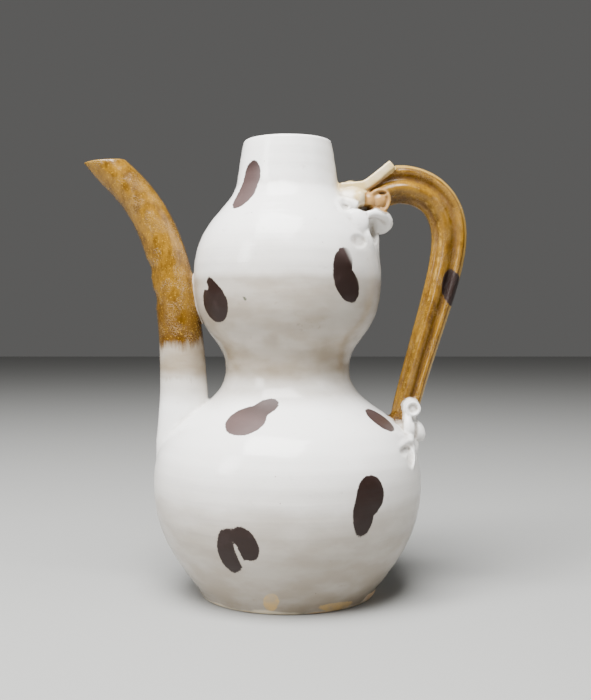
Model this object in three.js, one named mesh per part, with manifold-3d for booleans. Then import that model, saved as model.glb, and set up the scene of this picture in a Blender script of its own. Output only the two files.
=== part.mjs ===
// Double-gourd ewer: a thrown bottle with a curved spout, an arched strap handle and applied
// clay curls and leaves at both ends of the handle. Millimetres, +Z up. The origin is the middle
// of the flat underside, the handle is towards +X and the spout towards -X.
import * as THREE from 'three';
import { mergeVertices } from 'three/addons/utils/BufferGeometryUtils.js';
import Module from 'manifold-3d';

const wasm = await Module();
wasm.setup();

// Body, from the foot upwards: each rise is measured from the station below it
const footRadius = 39.8;
const footHeight = 3.5;
const footTaper = 1.2;
const footEdge = 0.9;
const bellyRadius = 58.9;
const bellyRise = 46.1;
const waistRadius = 27.4;
const waistRise = 49.6;
const bulbRadius = 41.5;
const bulbRise = 40.4;
const neckRadius = 22.6;
const neckRise = 40.4;
const mouthRadius = 19.6;
const mouthRise = 18.3;
const footSlope = 52;
const neckSlope = 75;

// Walls
const bodyWall = 4.5;
const mouthWall = 3.4;
const lipCrest = 0.6;
const floorThickness = 7;
const floorCorner = 6;

// Spout
const spoutStandOff = 4.5;
const spoutFootRise = 30.4;
const spoutBaseRadius = 10.7;
const spoutTipRadius = 7.6;
const spoutFlare = 1.6;
const spoutFlareLength = 26;
const spoutWall = 2.8;
const spoutLean = 35.6;
const spoutTipDrop = 9.2;
const spoutTipAngle = 40;
const spoutTipSlope = 5;

// Handle
const fingerGap = 22.6;
const handleTopThickness = 17;
const handleFootThickness = 11.5;
const handleTopWidth = 16;
const handleFootWidth = 11.5;
const archDrop = 19.4;
const archReach = 8.5;
const handleFootStandOff = 0.9;
const handleFootRise = 24.4;
const shoulderDrop = 43;

// Rolls along the handle: place and half depth as shares of its thickness, half width of its width
const handleRolls = [
  { place: 0.42, depth: 0.08, width: 0.2 },
  { place: 0.12, depth: 0.28, width: 0.5 },
  { place: -0.33, depth: 0.17, width: 0.41 },
];
const handleWeb = 0.3;

// Curls and leaves
const curlRadius = 3.9;
const rosetteRadius = 5;
const knobRadius = 4.5;
const lobeAside = 4.2;
const leafThickness = 4.4;
const tabThickness = 5;
const tabWidth = 8;
const tabOverhang = 2;
const upperLobe = [9.6, 7, 8];
const lowerLobe = [6.4, 7, 8.6];

// Fins and flat leaves on the body: degrees from the handle's plane, drop below the ornament
const upperFin = { turn: 4, drop: 29.5, width: 6, thickness: 7 };
const lowerFin = { turn: 5, drop: 16, width: 5.5, thickness: 7 };
const upperLeaf = { fromTurn: 40, fromDrop: 9, toTurn: 24, toDrop: 24, width: 8 };
const lowerLeaves = [
  { fromTurn: 14, fromDrop: 14, toTurn: 10, toDrop: -1, width: 5.5 },
  { fromTurn: 24, fromDrop: 17, toTurn: 24, toDrop: 3, width: 7.5 },
];

// Fineness of the facets
const roundSides = 36;
const profileSteps = 6;
const hollowSteps = 4;
const spoutSides = 16;
const spoutSteps = 16;
const handleSteps = 22;
const handleRows = 10;
const curlSides = 10;

const bellyHeight = footHeight + bellyRise;
const waistHeight = bellyHeight + waistRise;
const bulbHeight = waistHeight + bulbRise;
const neckHeight = bulbHeight + neckRise;
const mouthHeight = neckHeight + mouthRise;
const lipRadius = mouthWall / 2;
const rimHeight = mouthHeight + lipRadius;

const radians = THREE.MathUtils.degToRad;
const lerp = THREE.MathUtils.lerp;
const flat = (x, z) => new THREE.Vector3(x, 0, z);
const planeBezier = (...corners) => new THREE.CubicBezierCurve3(...corners.map(([x, z]) => flat(x, z)));

// Outer side of the body, as five curves that meet at the stations
function bodyCurves() {
  const foot = [footRadius, footHeight];
  const belly = [bellyRadius, bellyHeight];
  const waist = [waistRadius, waistHeight];
  const bulb = [bulbRadius, bulbHeight];
  const neck = [neckRadius, neckHeight];
  const footPull = 0.45 * bellyRise;
  const neckPull = 0.29 * neckRise;
  const footAngle = radians(footSlope);
  const neckAngle = radians(neckSlope);
  return [
    planeBezier(
      foot,
      [footRadius + footPull * Math.cos(footAngle), footHeight + footPull * Math.sin(footAngle)],
      [bellyRadius, bellyHeight - 0.4 * bellyRise],
      belly,
    ),
    planeBezier(
      belly,
      [bellyRadius, bellyHeight + 0.68 * waistRise],
      [waistRadius, waistHeight - 0.43 * waistRise],
      waist,
    ),
    planeBezier(
      waist,
      [waistRadius, waistHeight + 0.36 * bulbRise],
      [bulbRadius, bulbHeight - 0.68 * bulbRise],
      bulb,
    ),
    planeBezier(
      bulb,
      [bulbRadius, bulbHeight + 0.6 * neckRise],
      [neckRadius + neckPull * Math.cos(neckAngle), neckHeight - neckPull * Math.sin(neckAngle)],
      neck,
    ),
    planeBezier(
      neck,
      [neckRadius - 0.06 * mouthRise, neckHeight + 0.3 * mouthRise],
      [mouthRadius + 0.08 * mouthRise, mouthHeight - 0.35 * mouthRise],
      [mouthRadius, mouthHeight],
    ),
  ];
}

const curves = bodyCurves();

// Points up the outside, each with the direction that faces out there
function bodyPoints(steps) {
  const points = [];
  curves.forEach((curve, row) => {
    for (let i = row === 0 ? 0 : 1; i <= steps; i += 1) {
      const place = curve.getPointAt(i / steps);
      const along = curve.getTangentAt(i / steps);
      points.push({ place, out: flat(along.z, -along.x).normalize() });
    }
  });
  return points;
}

// Radius of the body at a height
const outline = bodyPoints(24);
function bodyRadius(height) {
  const above = outline.findIndex((point) => point.place.z >= height);
  if (above <= 0) return footRadius;
  const low = outline[above - 1].place;
  const high = outline[above].place;
  return lerp(low.x, high.x, (height - low.z) / (high.z - low.z));
}

function bodySlope(height) {
  return (bodyRadius(height + 0.5) - bodyRadius(height - 0.5));
}

// A closed geometry becomes a solid once its shared corners are one
function solid(geometry) {
  const bare = new THREE.BufferGeometry();
  bare.setAttribute('position', geometry.getAttribute('position').clone());
  bare.setIndex(geometry.getIndex());
  const merged = mergeVertices(bare, 1e-4);
  const corners = merged.getIndex().array;
  const kept = [];
  for (let i = 0; i < corners.length; i += 3) {
    const [a, b, c] = corners.slice(i, i + 3);
    if (a !== b && b !== c && c !== a) kept.push(a, b, c);
  }
  return new wasm.Manifold(new wasm.Mesh({
    numProp: 3,
    vertProperties: new Float32Array(merged.getAttribute('position').array),
    triVerts: new Uint32Array(kept),
  }));
}

// A turned solid from a profile that starts and ends on the axis, bottom first
function turned(profile) {
  const geometry = new THREE.LatheGeometry(profile.map((p) => new THREE.Vector2(p.x, p.z)), roundSides);
  return solid(geometry.rotateX(Math.PI / 2));
}

// A skin over a row of rings, closed by a fan at each end
function skin(rings) {
  const sides = rings[0].length;
  const positions = rings.flat().flatMap((p) => [p.x, p.y, p.z]);
  const index = [];
  for (let r = 0; r < rings.length - 1; r += 1) {
    for (let s = 0; s < sides; s += 1) {
      const a = r * sides + s;
      const b = r * sides + (s + 1) % sides;
      index.push(a, b, b + sides, a, b + sides, a + sides);
    }
  }
  const ends = [[0, 1], [rings.length - 1, 0]];
  for (const [ring, start] of ends) {
    const middle = rings[ring].reduce((sum, p) => sum.add(p), new THREE.Vector3()).divideScalar(sides);
    const centre = positions.length / 3;
    positions.push(middle.x, middle.y, middle.z);
    for (let s = 0; s < sides; s += 1) {
      const here = ring * sides + (s + start) % sides;
      const next = ring * sides + (s + 1 - start) % sides;
      index.push(centre, here, next);
    }
  }
  const geometry = new THREE.BufferGeometry();
  geometry.setAttribute('position', new THREE.Float32BufferAttribute(positions, 3));
  geometry.setIndex(index);
  return solid(geometry);
}

// A sweep along a curve in the XZ plane; section(share) gives points as [outward, sideways]
function sweep(curve, steps, section) {
  const rings = [];
  for (let i = 0; i <= steps; i += 1) {
    const share = i / steps;
    const centre = curve.getPointAt(share);
    const along = curve.getTangentAt(share);
    const outward = flat(-along.z, along.x);
    rings.push(section(share).map(([out, aside]) => new THREE.Vector3(
      centre.x + outward.x * out,
      aside,
      centre.z + outward.z * out,
    )));
  }
  return skin(rings);
}

function circle(radius, sides) {
  return Array.from({ length: sides }, (_, s) => {
    const angle = (2 * Math.PI * s) / sides;
    return [radius * Math.cos(angle), -radius * Math.sin(angle)];
  });
}

// A point on the rounded lip, a share of the way up its outer side (1) or its inner side (-1)
function lipPoint(share, side) {
  const angle = radians(90 * share);
  const across = Math.max(lipRadius * Math.cos(angle), lipCrest / 2);
  return flat(mouthRadius - lipRadius + side * across, mouthHeight + lipRadius * Math.sin(angle));
}

// The thrown body, solid, with its foot and the rounded outside of its lip
function bodyOutside() {
  return turned([
    flat(0, 0),
    flat(footRadius - footTaper - footEdge, 0),
    flat(footRadius - footTaper, footEdge),
    ...bodyPoints(profileSteps).map((point) => point.place),
    ...[0.25, 0.5, 0.75, 1].map((share) => lipPoint(share, 1)),
    flat(0, rimHeight),
  ]);
}

// The hollow: the outside moved in by the wall, with a flat floor and a rounded corner
function bodyHollow() {
  const wallAt = (height) => (
    lerp(bodyWall, mouthWall, THREE.MathUtils.smoothstep(height, bulbHeight, mouthHeight))
  );
  const side = bodyPoints(hollowSteps)
    .map(({ place, out }) => place.clone().addScaledVector(out, -wallAt(place.z)))
    .filter((place) => place.z > floorThickness + floorCorner);
  const corner = new THREE.QuadraticBezierCurve3(
    flat(side[0].x - 2.4 * floorCorner, floorThickness),
    flat(side[0].x - floorCorner, floorThickness),
    side[0],
  );
  return turned([
    flat(0, floorThickness),
    ...corner.getPoints(4).slice(0, -1),
    ...side,
    ...[0.5, 1].map((share) => lipPoint(share, -1)),
    flat(mouthRadius - lipRadius - lipCrest / 2, rimHeight + 1),
    flat(0, rimHeight + 1),
  ]);
}

// Spout: straight up beside the upper bulb, then leaning out to a tip that is cut nearly level
const spoutX = -(bulbRadius + spoutStandOff);
const spoutFootHeight = bellyHeight + spoutFootRise;
const spoutTipHeight = rimHeight - spoutTipDrop;
const spoutTip = new THREE.Vector2(spoutX - spoutLean, spoutTipHeight);
const spoutTipRun = new THREE.Vector2(-Math.sin(radians(spoutTipAngle)), Math.cos(radians(spoutTipAngle)));

function spoutPath(start, overrun) {
  const rise = spoutTipHeight - spoutFootHeight;
  const pull = 0.16 * rise;
  const path = new THREE.CurvePath();
  path.add(new THREE.LineCurve3(flat(spoutX, start), flat(spoutX, spoutFootHeight)));
  path.add(planeBezier(
    [spoutX, spoutFootHeight],
    [spoutX, spoutFootHeight + 0.8 * rise],
    [spoutTip.x - pull * spoutTipRun.x, spoutTip.y - pull * spoutTipRun.y],
    [spoutTip.x, spoutTip.y],
  ));
  path.add(new THREE.LineCurve3(
    flat(spoutTip.x, spoutTip.y),
    flat(spoutTip.x + overrun * spoutTipRun.x, spoutTip.y + overrun * spoutTipRun.y),
  ));
  return path;
}

function spoutRadius(share, length, start) {
  const fromFoot = share * length - (spoutFootHeight - start);
  const grown = THREE.MathUtils.clamp(fromFoot / (spoutTipHeight - spoutFootHeight), 0, 1.12);
  const flareShare = THREE.MathUtils.clamp(1 - (fromFoot + spoutFlareLength / 2) / spoutFlareLength, 0, 1);
  return lerp(spoutBaseRadius, spoutTipRadius, grown) + spoutFlare * flareShare ** 2;
}

function spoutOutside() {
  const start = bellyHeight + 8;
  const path = spoutPath(start, 2 * spoutTipRadius);
  const length = path.getLength();
  const tube = sweep(path, spoutSteps, (share) => circle(spoutRadius(share, length, start), spoutSides));
  const side = 6 * spoutTipRadius;
  const cutter = new THREE.BoxGeometry(side, side, side);
  cutter.translate(0, 0, side / 2);
  cutter.rotateY(-radians(spoutTipSlope));
  cutter.translate(spoutTip.x, 0, spoutTip.y);
  return tube.subtract(solid(cutter));
}

function spoutBore() {
  const start = bellyHeight;
  const path = spoutPath(start, 3 * spoutTipRadius);
  const length = path.getLength();
  return sweep(path, spoutSteps, (share) => (
    circle(spoutRadius(share, length, start) - spoutWall, spoutSides - 4)
  ));
}

// Handle: out of the upper bulb, over an arch and down to the lower shoulder
const handleOutX = bulbRadius + fingerGap + lerp(handleTopThickness, handleFootThickness, 0.3) / 2;
const archX = bulbRadius + archReach;
const archHeight = rimHeight - archDrop;
const outHeight = rimHeight - shoulderDrop;
const handleFootHeight = bellyHeight + handleFootRise;
const handleFootX = bodyRadius(handleFootHeight) + handleFootStandOff;

function handlePath() {
  const rootHeight = archHeight - 0.66 * handleTopThickness;
  const rootX = bodyRadius(rootHeight) - bodyWall;
  const fall = outHeight - handleFootHeight;
  const path = new THREE.CurvePath();
  path.add(planeBezier(
    [rootX, rootHeight],
    [rootX + 9, rootHeight + 3],
    [archX - 10, archHeight],
    [archX, archHeight],
  ));
  path.add(planeBezier(
    [archX, archHeight],
    [archX + 9, archHeight],
    [handleOutX, outHeight + 18],
    [handleOutX, outHeight],
  ));
  path.add(planeBezier(
    [handleOutX, outHeight],
    [handleOutX, outHeight - 0.2 * fall],
    [handleFootX + 0.11 * fall, handleFootHeight + 0.45 * fall],
    [handleFootX, handleFootHeight],
  ));
  path.add(new THREE.LineCurve3(
    flat(handleFootX, handleFootHeight),
    flat(handleFootX - 0.24 * bodyWall, handleFootHeight - bodyWall),
  ));
  return path;
}

// The handle's section: rolls side by side, joined by a web, flat on the inner side
function handleSection(thickness, width) {
  const right = [];
  for (let i = 0; i <= handleRows; i += 1) {
    const place = -0.5 * Math.cos((Math.PI * i) / handleRows);
    const bulges = handleRolls.map((roll) => {
      const share = (place - roll.place) / roll.depth;
      return Math.abs(share) < 1 ? roll.width * Math.sqrt(1 - share ** 2) : 0;
    });
    const web = i === 0 || i === handleRows ? 0.12 : handleWeb * Math.sqrt(1 - (2 * place) ** 2);
    right.push([place * thickness, Math.max(web, ...bulges) * width]);
  }
  const left = right.map(([out, aside]) => [out, -aside]).reverse();
  return [...right, ...left];
}

function handle() {
  return sweep(handlePath(), handleSteps, (share) => handleSection(
    lerp(handleTopThickness, handleFootThickness, THREE.MathUtils.smoothstep(share, 0.1, 1)),
    lerp(handleTopWidth, handleFootWidth, share),
  ));
}

// A leaf: an almond of clay between two points, flat against the side that faces out
function leaf(from, to, [width, thickness], out) {
  const along = new THREE.Vector3().subVectors(to, from);
  const length = along.length();
  along.normalize();
  const across = new THREE.Vector3().crossVectors(along, out).normalize();
  const up = new THREE.Vector3().crossVectors(across, along);
  const middle = new THREE.Vector3().addVectors(from, to).multiplyScalar(0.5);
  const geometry = new THREE.SphereGeometry(1, 8, 6);
  geometry.scale(length / 2, thickness / 2, width / 2);
  geometry.applyMatrix4(new THREE.Matrix4().makeBasis(along, up, across).setPosition(middle));
  return solid(geometry);
}

// A rounded lump of clay with its three sizes
function lump(centre, length, depth, height) {
  const geometry = new THREE.SphereGeometry(0.5, 10, 6);
  geometry.scale(length, depth, height);
  geometry.translate(centre.x, centre.y, centre.z);
  return solid(geometry);
}

// A rolled curl seen end on: a round roll with a groove inside its rim and a raised middle
function curl(centre, radius, out) {
  const rim = [[1, 0], [0.88, 0.28], [0.7, 0.34]];
  const middle = [[0.48, 0.08], [0.26, 0.2], [0, 0.26]];
  const profile = [[0, -0.9], [0.9, -0.9], ...rim, ...middle].map(([across, high]) => (
    new THREE.Vector2(across * radius, high * radius)
  ));
  const roll = new THREE.LatheGeometry(profile, curlSides);
  const turn = new THREE.Quaternion().setFromUnitVectors(new THREE.Vector3(0, 1, 0), out.clone().normalize());
  roll.applyMatrix4(new THREE.Matrix4().compose(centre, turn, new THREE.Vector3(1, 1, 1)));
  return solid(roll);
}

// A point on the body at a turn from the handle's plane, and the direction out of the clay there
function onBody(degrees, height, side) {
  const angle = side * radians(degrees);
  const radius = bodyRadius(height);
  const out = new THREE.Vector3(Math.cos(angle), Math.sin(angle), -bodySlope(height)).normalize();
  return { place: new THREE.Vector3(radius * Math.cos(angle), radius * Math.sin(angle), height), out };
}

// A leaf that lies on the body between two turns, below the height of the ornament it belongs to
function bodyLeaf({ fromTurn, fromDrop, toTurn, toDrop, width }, height, side) {
  const from = onBody(fromTurn, height - fromDrop, side);
  const to = onBody(toTurn, height - toDrop, side);
  const middle = onBody((fromTurn + toTurn) / 2, height - (fromDrop + toDrop) / 2, side);
  return leaf(from.place, to.place, [width, leafThickness], middle.out);
}

// Ornament where the handle leaves the upper bulb: a lump of clay, a tab, curls and leaves
function upperOrnament() {
  const rootHeight = archHeight - 0.36 * handleTopThickness;
  const rootX = bodyRadius(rootHeight);
  const halfWidth = handleTopWidth / 2;
  const at = (right, aside, up) => new THREE.Vector3(rootX + right, aside, rootHeight + up);
  let clay = lump(at(3.5, 0, -2), 22, 2 * halfWidth + 8, 17);

  const tabTop = flat(archX - 4, archHeight + handleTopThickness / 2 + tabOverhang);
  const tabBend = flat(rootX + 9, rootHeight + 0.42 * handleTopThickness);
  const tabPath = new THREE.CurvePath();
  tabPath.add(new THREE.LineCurve3(flat(rootX - 1, rootHeight + 0.36 * handleTopThickness), tabBend));
  tabPath.add(new THREE.LineCurve3(tabBend, tabTop));
  const tabSide = tabWidth / 2;
  const tabSection = [[-tabThickness, tabSide], [0, tabSide], [0, -tabSide], [-tabThickness, -tabSide]];
  clay = clay.add(sweep(tabPath, 8, () => tabSection));

  for (const side of [-1, 1]) {
    const sideways = new THREE.Vector3(0, side, 0);
    const rosette = at(1.3, side * (halfWidth + 3), -4);
    const scroll = new THREE.Vector3(archX - 8.4, side * (halfWidth + 0.6), archHeight - 6.3);
    const lobe = at(17.4, side * lobeAside, -9.3);
    const fin = onBody(upperFin.turn, rootHeight - upperFin.drop, side).place;
    const finSize = [upperFin.width, upperFin.thickness];
    clay = clay
      .add(curl(rosette, rosetteRadius, new THREE.Vector3(0.35, side, 0)))
      .add(curl(scroll, curlRadius, sideways))
      .add(leaf(at(7, side * halfWidth, 4), scroll, [5.5, 5], sideways))
      .add(leaf(at(6, side * (halfWidth + 3), -7), at(17, side * lobeAside, -7), [6, 6], sideways))
      .add(lump(lobe, ...upperLobe))
      .add(leaf(fin, at(12, side * lobeAside, -6), finSize, sideways))
      .add(bodyLeaf(upperLeaf, rootHeight, side));
  }
  return clay;
}

// Ornament where the handle meets the lower shoulder: a curl, a lobe and leaves on each side
function lowerOrnament() {
  const halfWidth = handleFootWidth / 2;
  const at = (right, aside, up) => new THREE.Vector3(handleFootX + right, aside, handleFootHeight + up);
  let clay = lump(at(0.5, 0, 0), 14, 2 * halfWidth + 7, 14);
  for (const side of [-1, 1]) {
    const sideways = new THREE.Vector3(0, side, 0);
    const knob = at(4.6, side * (halfWidth + 1), 6.9);
    const fin = onBody(lowerFin.turn, handleFootHeight - lowerFin.drop, side).place;
    const finSize = [lowerFin.width, lowerFin.thickness];
    clay = clay
      .add(curl(knob, knobRadius, sideways))
      .add(leaf(at(0, side * (halfWidth + 2), -2), knob, [6, 6], sideways))
      .add(lump(at(7.6, side * lobeAside, -3), ...lowerLobe))
      .add(leaf(fin, at(4.6, side * lobeAside, 2), finSize, sideways));
    for (const lowerLeaf of lowerLeaves) clay = clay.add(bodyLeaf(lowerLeaf, handleFootHeight, side));
  }
  return clay;
}

// All of it is luted together wet and fired as one, with one hollow from the mouth to the spout.
// Pressing the clay together closes the small pockets between the ornaments and what they sit on.
function ewer() {
  const joined = bodyOutside().add(spoutOutside()).add(handle()).add(upperOrnament()).add(lowerOrnament());
  const [first, ...others] = joined.decompose().filter((skinPart) => skinPart.volume() > 0);
  const clay = others.reduce((sum, skinPart) => sum.add(skinPart), first);
  const hollow = bodyHollow().add(spoutBore());
  const { vertProperties, triVerts } = clay.subtract(hollow).getMesh();
  const geometry = new THREE.BufferGeometry();
  geometry.setAttribute('position', new THREE.BufferAttribute(new Float32Array(vertProperties), 3));
  geometry.setIndex(new THREE.BufferAttribute(new Uint32Array(triVerts), 1));
  geometry.computeVertexNormals();
  return geometry;
}

const glaze = new THREE.MeshStandardMaterial({ color: 0xe6e2da, roughness: 0.22, metalness: 0 });
const vessel = new THREE.Mesh(ewer(), glaze);
vessel.name = 'ewer';

const part = new THREE.Group();
part.add(vessel);

export default part;
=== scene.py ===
import math

import bmesh
import bpy
import numpy as np
from mathutils import Matrix, Vector
from mathutils.bvhtree import BVHTree


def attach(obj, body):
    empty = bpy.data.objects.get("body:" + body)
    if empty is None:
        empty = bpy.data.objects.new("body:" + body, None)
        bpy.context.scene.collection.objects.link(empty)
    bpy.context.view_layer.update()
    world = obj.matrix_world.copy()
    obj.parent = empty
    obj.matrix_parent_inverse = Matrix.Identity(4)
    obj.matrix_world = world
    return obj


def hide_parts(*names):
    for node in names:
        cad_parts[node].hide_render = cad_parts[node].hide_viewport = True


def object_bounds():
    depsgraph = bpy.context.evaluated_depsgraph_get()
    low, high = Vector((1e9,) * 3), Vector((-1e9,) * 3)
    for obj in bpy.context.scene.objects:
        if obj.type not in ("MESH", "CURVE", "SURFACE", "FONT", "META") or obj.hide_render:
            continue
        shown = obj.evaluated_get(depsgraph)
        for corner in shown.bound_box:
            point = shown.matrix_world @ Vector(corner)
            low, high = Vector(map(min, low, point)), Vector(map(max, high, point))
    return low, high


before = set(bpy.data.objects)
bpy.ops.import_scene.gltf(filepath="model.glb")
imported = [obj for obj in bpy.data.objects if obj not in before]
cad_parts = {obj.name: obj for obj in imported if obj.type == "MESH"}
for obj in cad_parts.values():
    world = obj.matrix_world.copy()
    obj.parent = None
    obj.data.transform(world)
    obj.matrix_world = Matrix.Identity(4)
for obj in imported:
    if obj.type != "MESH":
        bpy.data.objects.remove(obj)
cad_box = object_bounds()

# Camera: level, at about 45 cm from the ewer's axis and a little over half its height. The ewer
# stands slightly left of the middle of an upright picture of 591 by 700 pixels.
PHOTO_WIDTH = 591
PHOTO_HEIGHT = 700
FOCAL_PIXELS = 1023
AXIS_COLUMN = 287.5
EYE_ROW = 321
EYE_DISTANCE = 0.455
EYE_HEIGHT = 0.120


def put(name, data):
    """A new object in the scene"""
    made = bpy.data.objects.new(name, data)
    bpy.context.scene.collection.objects.link(made)
    return made


camera = put("camera", bpy.data.cameras.new("camera"))
bpy.context.scene.camera = camera
camera.data.sensor_fit = "VERTICAL"
camera.data.sensor_height = 24
camera.data.lens = camera.data.sensor_height * FOCAL_PIXELS / PHOTO_HEIGHT
camera.data.shift_x = (PHOTO_WIDTH / 2 - AXIS_COLUMN) / PHOTO_HEIGHT
camera.data.shift_y = (EYE_ROW - PHOTO_HEIGHT / 2) / PHOTO_HEIGHT
camera.location = (0, -EYE_DISTANCE, EYE_HEIGHT)
camera.rotation_euler = (math.radians(90), 0, 0)


# Thrown body: two bulbs of white-glazed stoneware thrown on the wheel and joined at the waist,
# with a plain mouth. The outline is five curves between the stations, in millimetres, and faint
# throwing rings climb round it as a shallow spiral.
FOOT = (39.8, 3.5)
BELLY = (58.9, 49.6)
WAIST = (27.4, 99.2)
BULB = (41.5, 139.6)
NECK = (22.6, 180.0)
MOUTH = (19.6, 198.3)
RIM_HEIGHT = 200.0
MOUTH_WALL = 3.4
FOOT_SLOPE = math.radians(52)
NECK_SLOPE = math.radians(75)
# How far each curve keeps the direction of the station below it, and of the one above it: outward
# and up, in shares of its own rise
PULLS = [
    ((0.45 * math.cos(FOOT_SLOPE), 0.45 * math.sin(FOOT_SLOPE)), (0, 0.4)),
    ((0, 0.68), (0, 0.43)),
    ((0, 0.36), (0, 0.68)),
    ((0, 0.6), (-0.29 * math.cos(NECK_SLOPE), 0.29 * math.sin(NECK_SLOPE))),
    ((-0.06, 0.3), (-0.08, 0.35)),
]
# The foot's rounded edge: how far in from the foot's radius, and how high
FOOT_INSET = 2.6
FOOT_ROUNDING = ((1.7, 0.35), (1.2, 1.1))
RING_DEPTH = 0.075
RING_PITCH = 6.4
RING_PATCHES = 0.03
ROUND_SIDES = 256
TURNING_CIRCLE = 1.0
CURVE_POINTS = 60
LIP_POINTS = 9
OUTLINE_STEP = 0.9
DISC_STEP = 2.5
WELD_GAP = 0.002


def bezier(a, b, c, d):
    t = np.linspace(0, 1, CURVE_POINTS)[:, None]
    a, b, c, d = (np.array(point, float) for point in (a, b, c, d))
    return (1 - t) ** 3 * a + 3 * (1 - t) ** 2 * t * b + 3 * (1 - t) * t * t * c + t ** 3 * d


def even(points, step):
    """The same line with a point every step millimetres"""
    lengths = np.r_[0, np.cumsum(np.linalg.norm(np.diff(points, axis=0), axis=1))]
    places = np.linspace(0, lengths[-1], max(2, int(lengths[-1] / step) + 1))
    return np.stack([np.interp(places, lengths, points[:, axis]) for axis in range(points.shape[1])], 1)


def body_outline():
    """The curves from station to station, in one line"""
    stations = np.array([FOOT, BELLY, WAIST, BULB, NECK, MOUTH])
    line = [stations[:1]]
    for low, high, (leaving, arriving) in zip(stations, stations[1:], np.array(PULLS)):
        rise = high[1] - low[1]
        line.append(bezier(low, low + rise * leaving, high - rise * arriving, high)[1:])
    return np.concatenate(line)


outline = body_outline()


def body_radius(height):
    return np.interp(height, outline[:, 1], outline[:, 0])


def lip_arc(side):
    """Quarter of the rounded lip, outside (side 1) or inside (side -1), up to the crest"""
    half = MOUTH_WALL / 2
    turn = np.linspace(0, math.pi / 2, LIP_POINTS)[1:]
    return np.stack([MOUTH[0] - half + side * half * np.cos(turn), MOUTH[1] + half * np.sin(turn)], 1)


def tree_with(name, sizes):
    tree = bpy.data.node_groups.new(name, "GeometryNodeTree")
    tree.interface.new_socket("Geometry", in_out="INPUT", socket_type="NodeSocketGeometry")
    for label, kind in sizes.items():
        tree.interface.new_socket(label, in_out="INPUT", socket_type=kind)
    tree.interface.new_socket("Geometry", in_out="OUTPUT", socket_type="NodeSocketGeometry")
    return tree


def add(tree, kind, settings=None, **inputs):
    """A node with its settings and inputs; an input is another node, one of its sockets or a value"""
    node = tree.nodes.new(kind)
    for key, value in (settings or {}).items():
        setattr(node, key, value)
    for key, value in inputs.items():
        socket = node.inputs[int(key[1:]) if key[0] == "_" else key.replace("_", " ")]
        if isinstance(value, bpy.types.Node):
            value = value.outputs[0]
        if isinstance(value, bpy.types.NodeSocket):
            tree.links.new(value, socket)
        else:
            socket.default_value = value
    return node


def worked(tree, kind, *values):
    """What a Math node of the named kind makes of its inputs"""
    inputs = {"_" + str(index): value for index, value in enumerate(values)}
    return add(tree, "ShaderNodeMath", {"operation": kind}, **inputs).outputs[0]


clay_look = bpy.data.materials.new("white_glaze")


def finished(tree, last):
    """Ends a tree in Realize Instances and Set Material"""
    whole = add(tree, "GeometryNodeRealizeInstances", Geometry=last)
    coated = add(tree, "GeometryNodeSetMaterial", Geometry=whole, Material=clay_look)
    end = tree.nodes.new("NodeGroupOutput")
    tree.links.new(coated.outputs[0], end.inputs[0])


def line_mesh(name, points, closed=False, girth=None):
    mesh = bpy.data.meshes.new(name)
    count = len(points)
    edges = [(i, (i + 1) % count) for i in range(count if closed else count - 1)]
    mesh.from_pydata([tuple(point) for point in points], edges, [])
    if girth is not None:
        mesh.attributes.new("girth", "FLOAT", "POINT").data.foreach_set("value", np.array(girth, np.float32))
    return mesh


def evaluated(made):
    """An object's mesh as its modifiers leave it"""
    bpy.context.view_layer.update()
    return bpy.data.meshes.new_from_object(made.evaluated_get(bpy.context.evaluated_depsgraph_get()))


def arrays(mesh):
    places = np.zeros(len(mesh.vertices) * 3)
    mesh.vertices.foreach_get("co", places)
    faces = [tuple(face.vertices) for face in mesh.polygons]
    return places.reshape(-1, 3), faces


def shaped(tree, mesh, sizes):
    """Runs a tree on a mesh and gives back the points and faces it makes"""
    shape = put(tree.name, mesh)
    modifier = shape.modifiers.new("shape", "NODES")
    modifier.node_group = tree
    for socket in tree.interface.items_tree:
        if socket.in_out == "INPUT" and socket.name in sizes:
            modifier[socket.identifier] = sizes[socket.name]
    result = evaluated(shape)
    bpy.data.objects.remove(shape)
    return arrays(result)


def thrown_tree():
    """Turns an outline round the axis and presses the throwing rings into it"""
    sizes = {"Ring depth": "NodeSocketFloat", "Ring pitch": "NodeSocketFloat", "Sides": "NodeSocketInt"}
    tree = tree_with("thrown clay", sizes)
    given = tree.nodes.new("NodeGroupInput")
    profile = add(tree, "GeometryNodeMeshToCurve", Mesh=given.outputs["Geometry"])
    circle = add(tree, "GeometryNodeCurvePrimitiveCircle", Resolution=given.outputs["Sides"],
                 Radius=TURNING_CIRCLE)
    upright = add(tree, "GeometryNodeSetCurveNormal", {"mode": "Z_UP"}, Curve=circle)
    turned = add(tree, "GeometryNodeCurveToMesh", Curve=upright, _1=profile)
    welded = add(tree, "GeometryNodeMergeByDistance", Geometry=turned, Distance=WELD_GAP)
    faced = add(tree, "GeometryNodeFlipFaces", Mesh=welded)
    place = add(tree, "GeometryNodeInputPosition")
    parts = add(tree, "ShaderNodeSeparateXYZ", Vector=place)
    turn = worked(tree, "ARCTAN2", parts.outputs["Y"], parts.outputs["X"])
    height = worked(tree, "DIVIDE", parts.outputs["Z"], given.outputs["Ring pitch"])
    climb = worked(tree, "MULTIPLY_ADD", height, 2 * math.pi, turn)
    wave = worked(tree, "SINE", climb)
    patches = add(tree, "ShaderNodeTexNoise", {"noise_dimensions": "3D"}, Vector=place, Scale=RING_PATCHES)
    depth = worked(tree, "MULTIPLY", wave, given.outputs["Ring depth"])
    pressed = worked(tree, "MULTIPLY", depth, patches)
    level = add(tree, "ShaderNodeVectorMath", {"operation": "MULTIPLY"}, _0=place, _1=(1, 1, 0))
    outward = add(tree, "ShaderNodeVectorMath", {"operation": "NORMALIZE"}, _0=level)
    shift = add(tree, "ShaderNodeVectorMath", {"operation": "SCALE"}, _0=outward, Scale=pressed)
    ringed = add(tree, "GeometryNodeSetPosition", Geometry=faced, Offset=shift)
    finished(tree, ringed)
    return tree


thrown = thrown_tree()


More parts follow.
